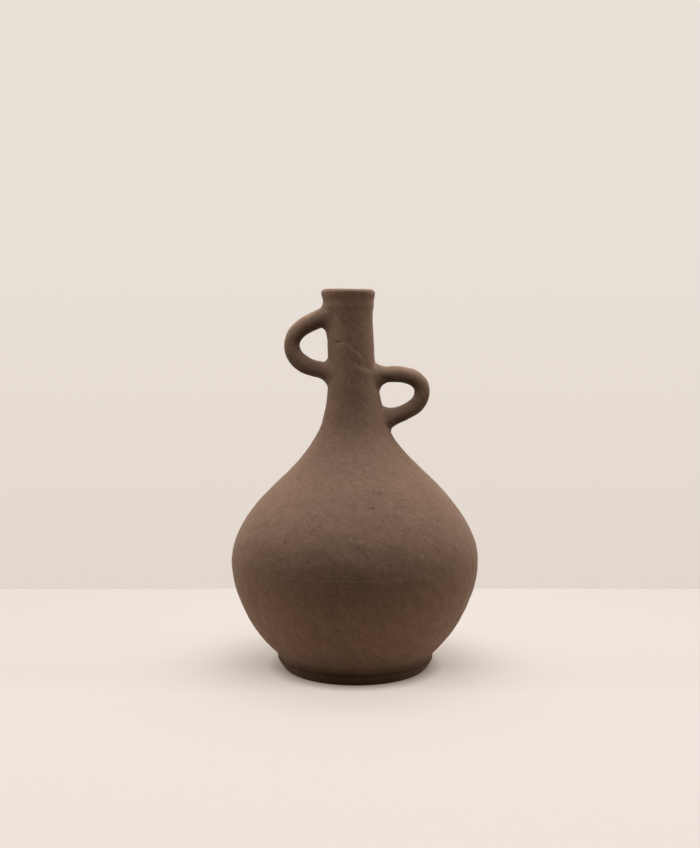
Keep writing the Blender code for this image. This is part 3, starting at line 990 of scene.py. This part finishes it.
def make_world():
    """Soft light that is brightest from behind the vase, and the wall's colour all round for the camera."""
    world = bpy.data.worlds.new("studio")
    bpy.context.scene.world = world
    nodes = Nodes(world)
    light = nodes.tree.nodes["Background"]
    nodes.join(WORLD_TINT, light.inputs["Color"])
    level = nodes.ranged(nodes.coordinate("Generated", "Y"), *WORLD_SPAN, *WORLD_LEVELS)
    nodes.join(level, light.inputs["Strength"])
    shown = nodes.add("Background")
    nodes.join(WALL_LOW, shown.inputs["Color"])
    shaders = (light.outputs["Background"], shown.outputs["Background"])
    blended(nodes, seen_ray(nodes), *shaders, output="World Output")


def stage_plane(name, corners, material):
    """A flat sheet of the set, which isn't part of the vase."""
    mesh = bpy.data.meshes.new(name)
    mesh.from_pydata(corners, [], [(0, 1, 2, 3)])
    mesh.materials.append(material)
    sheet = bpy.data.objects.new(name, mesh)
    bpy.context.scene.collection.objects.link(sheet)


def lamp(name, place, aim, size, power, spread=WIDE_SPREAD):
    """A soft light."""
    data = bpy.data.lights.new(name, "AREA")
    data.shape = "RECTANGLE"
    data.size, data.size_y = size
    data.energy = power
    data.spread = math.radians(spread)
    light = bpy.data.objects.new(name, data)
    light.location = place
    way = np.array(aim) - np.array(place)
    flat = math.hypot(way[0], way[1])
    light.rotation_euler = (math.atan2(flat, -way[2]), 0.0, math.atan2(way[1], way[0]) - math.pi / 2)
    bpy.context.scene.collection.objects.link(light)


def make_set():
    """Pale floor and wall, and soft light from above and behind."""
    half = STAGE_HALF
    corners = [(-half, -half, 0.0), (half, -half, 0.0), (half, half, 0.0), (-half, half, 0.0)]
    stage_plane("floor", corners, floor_paint())
    top = 2 * half
    corners = [(-half, WALL_Y, 0.0), (half, WALL_Y, 0.0), (half, WALL_Y, top), (-half, WALL_Y, top)]
    stage_plane("wall", corners, wall_paint())
    make_world()
    for values in LAMPS:
        lamp(*values)


def make_camera():
    """The photograph's viewpoint."""
    data = bpy.data.cameras.new("camera")
    data.sensor_width = SENSOR
    data.lens = FOCAL_PIXELS / PHOTO_HEIGHT * SENSOR
    camera = bpy.data.objects.new("camera", data)
    camera.location = CAMERA_PLACE
    camera.rotation_euler = (math.radians(90 - CAMERA_PITCH), 0.0, 0.0)
    bpy.context.scene.collection.objects.link(camera)
    bpy.context.scene.camera = camera


def make_vase():
    """All the clay pieces."""
    fired = clay("fired_clay")
    # The handles' clay, with painted light on top and painted shade underneath
    painted_shading_clay = clay("handle_clay_painted_shading", True)
    turned("foot_dish", foot_rows(), fired, poles=(0.0, FLOOR_Z))
    turned("lower_bowl", section(FOOT_Z, SEAM_Z, BODY_STEP), fired)
    turned("shoulder", section(SEAM_Z, NECK_Z, BODY_STEP), fired)
    turned("neck_collar", section(NECK_Z, LIP_Z, NECK_STEP), fired)
    turned("lip_coil", lip_rows(), fired)
    handles = (("high_handle", HIGH_COIL, HIGH_SMEARS), ("low_handle", LOW_COIL, LOW_SMEARS))
    for name, values, (top_smear, base_smear) in handles:
        coil = Coil(**values)
        coil_piece(name, coil, painted_shading_clay)
        smear_piece(name + "_top_collar", coil, TOP_ROOT, painted_shading_clay, **top_smear)
        smear_piece(name + "_base_collar", coil, BASE_ROOT, painted_shading_clay, **base_smear)


make_vase()
make_set()
make_camera()
bpy.context.scene.view_settings.view_transform = "Standard"
